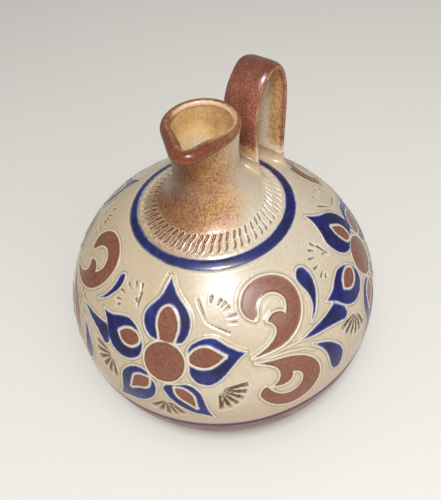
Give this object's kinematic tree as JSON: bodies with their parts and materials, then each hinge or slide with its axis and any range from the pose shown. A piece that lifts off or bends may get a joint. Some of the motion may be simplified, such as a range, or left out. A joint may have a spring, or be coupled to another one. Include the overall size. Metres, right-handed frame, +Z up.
{
  "type": "stoneware jug",
  "caption": "Squat round salt-glazed stoneware jug with a narrow neck, a pinched pouring lip and a tall strap handle, flat base.",
  "frame": {"origin": "centre of the flat base, on the surface that the jug stands on", "axes": "+Z up along the jug's turning axis, +X from the axis towards the strap handle; the pouring lip stands about 200 degrees round from +X"},
  "size_m": [0.18, 0.18, 0.1931],
  "materials": {
    "bare_stoneware": "unglazed fired stoneware, matt and slightly rough",
    "brown_glaze": "glossy reddish-brown salt glaze with a fine orange-peel skin",
    "grey_glaze": "glossy beige-grey salt glaze with incised cobalt-blue and brown ornament",
    "tan_glaze": "glossy tan salt glaze with dense brown speckle",
    "rust_glaze": "glossy rust-brown salt glaze with fine speckle"
  },
  "bodies": {
    "root": {"base_disc": "bare_stoneware", "lower_bowl": "brown_glaze", "shoulder_dome": "grey_glaze", "neck_collar": "tan_glaze", "rim_roll": "rust_glaze", "handle_strap": "rust_glaze", "upper_root_luting": "tan_glaze", "lower_root_luting": "grey_glaze"}
  },
  "joints": []
}
